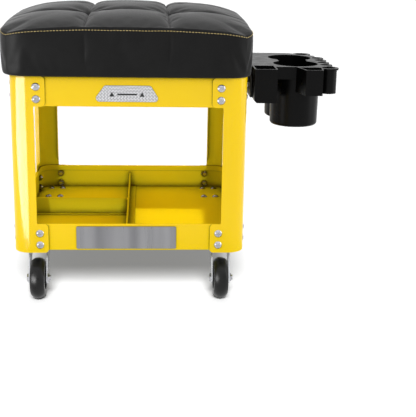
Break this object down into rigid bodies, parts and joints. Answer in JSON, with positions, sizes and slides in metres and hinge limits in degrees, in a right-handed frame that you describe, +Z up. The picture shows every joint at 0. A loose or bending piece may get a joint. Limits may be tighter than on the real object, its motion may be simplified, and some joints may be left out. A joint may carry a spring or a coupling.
{
  "type": "creeper seat",
  "caption": "Rolling work seat with a tufted hinged lid, two sheet-steel tool trays, swivel casters and a moulded side tray.",
  "frame": {"origin": "bottom centre of the bounding box, on the floor", "axes": "+X to the side tray, along the longest extent; -Y to the front with the label; +Z up"},
  "size_m": [0.515, 0.397, 0.4428],
  "materials": {
    "yellow_paint": "gloss",
    "seat_vinyl": "satin",
    "plywood": "matte",
    "bottom_cloth": "matte",
    "moulded_plastic": "satin",
    "black_steel": "satin",
    "label_metal": "patterned",
    "brushed_badge": "brushed",
    "hinge_steel": "satin",
    "tread_rubber": "matte",
    "hub_plastic": "satin",
    "caster_steel": "polished",
    "fastener_steel": "polished"
  },
  "bodies": {
    "frame": {"upper_tray": "yellow_paint", "lower_tray": "yellow_paint", "post_front_left": "yellow_paint", "post_front_right": "yellow_paint", "post_rear_left": "yellow_paint", "post_rear_right": "yellow_paint", "upper_tray_bolts": "fastener_steel", "upper_tray_nuts": "fastener_steel", "lower_tray_bolts": "fastener_steel", "lower_tray_nuts": "fastener_steel", "caster_bolts": "fastener_steel", "caster_nuts": "fastener_steel", "long_divider": "yellow_paint", "cross_divider": "yellow_paint", "label_plate": "label_metal", "badge_plate": "brushed_badge", "caster_front_left_plate": "caster_steel", "caster_front_left_kingpin": "caster_steel", "caster_front_left_balls": "caster_steel", "caster_front_right_plate": "caster_steel", "caster_front_right_kingpin": "caster_steel", "caster_front_right_balls": "caster_steel", "caster_rear_left_plate": "caster_steel", "caster_rear_left_kingpin": "caster_steel", "caster_rear_left_balls": "caster_steel", "caster_rear_right_plate": "caster_steel", "caster_rear_right_kingpin": "caster_steel", "caster_rear_right_balls": "caster_steel", "hinge_fixed_leaf_left": "hinge_steel", "hinge_fixed_leaf_right": "hinge_steel", "hinge_pins": "hinge_steel", "hinge_tray_screws": "fastener_steel", "hinge_tray_nuts": "fastener_steel", "side_tray_bracket": "black_steel", "side_tray_bolts": "fastener_steel", "side_tray_screws": "fastener_steel", "side_tray": "moulded_plastic"},
    "seat": {"seat_cushion": "seat_vinyl", "seat_board": "plywood", "seat_bottom_cloth": "bottom_cloth", "hinge_seat_leaf_left": "hinge_steel", "hinge_seat_leaf_right": "hinge_steel", "hinge_seat_screws": "fastener_steel"},
    "swivel_front_left": {"caster_front_left_fork": "caster_steel", "caster_front_left_axle": "fastener_steel"},
    "wheel_front_left": {"caster_front_left_tread": "tread_rubber", "caster_front_left_hub": "hub_plastic"},
    "swivel_front_right": {"caster_front_right_fork": "caster_steel", "caster_front_right_axle": "fastener_steel"},
    "wheel_front_right": {"caster_front_right_tread": "tread_rubber", "caster_front_right_hub": "hub_plastic"},
    "swivel_rear_left": {"caster_rear_left_fork": "caster_steel", "caster_rear_left_axle": "fastener_steel"},
    "wheel_rear_left": {"caster_rear_left_tread": "tread_rubber", "caster_rear_left_hub": "hub_plastic"},
    "swivel_rear_right": {"caster_rear_right_fork": "caster_steel", "caster_rear_right_axle": "fastener_steel"},
    "wheel_rear_right": {"caster_rear_right_tread": "tread_rubber", "caster_rear_right_hub": "hub_plastic"}
  },
  "joints": [
    {"name": "seat_lift", "type": "hinge", "parent": "frame", "child": "seat", "pos_m": [-0.0705, 0.19351, 0.3459], "axis": [-1, 0, 0], "range_deg": [0, 95]},
    {"name": "swivel_front_left", "type": "hinge", "parent": "frame", "child": "swivel_front_left", "pos_m": [-0.212, -0.1415, 0.0779], "axis": [0, 0, 1], "continuous": true},
    {"name": "roll_front_left", "type": "hinge", "parent": "swivel_front_left", "child": "wheel_front_left", "pos_m": [-0.212, -0.1665, 0.032], "axis": [1, 0, 0], "continuous": true},
    {"name": "swivel_front_right", "type": "hinge", "parent": "frame", "child": "swivel_front_right", "pos_m": [0.071, -0.1415, 0.0779], "axis": [0, 0, 1], "continuous": true},
    {"name": "roll_front_right", "type": "hinge", "parent": "swivel_front_right", "child": "wheel_front_right", "pos_m": [0.071, -0.1665, 0.032], "axis": [1, 0, 0], "continuous": true},
    {"name": "swivel_rear_left", "type": "hinge", "parent": "frame", "child": "swivel_rear_left", "pos_m": [-0.212, 0.1435, 0.0779], "axis": [0, 0, 1], "continuous": true},
    {"name": "roll_rear_left", "type": "hinge", "parent": "swivel_rear_left", "child": "wheel_rear_left", "pos_m": [-0.212, 0.1185, 0.032], "axis": [1, 0, 0], "continuous": true},
    {"name": "swivel_rear_right", "type": "hinge", "parent": "frame", "child": "swivel_rear_right", "pos_m": [0.071, 0.1435, 0.0779], "axis": [0, 0, 1], "continuous": true},
    {"name": "roll_rear_right", "type": "hinge", "parent": "swivel_rear_right", "child": "wheel_rear_right", "pos_m": [0.071, 0.1185, 0.032], "axis": [1, 0, 0], "continuous": true}
  ]
}
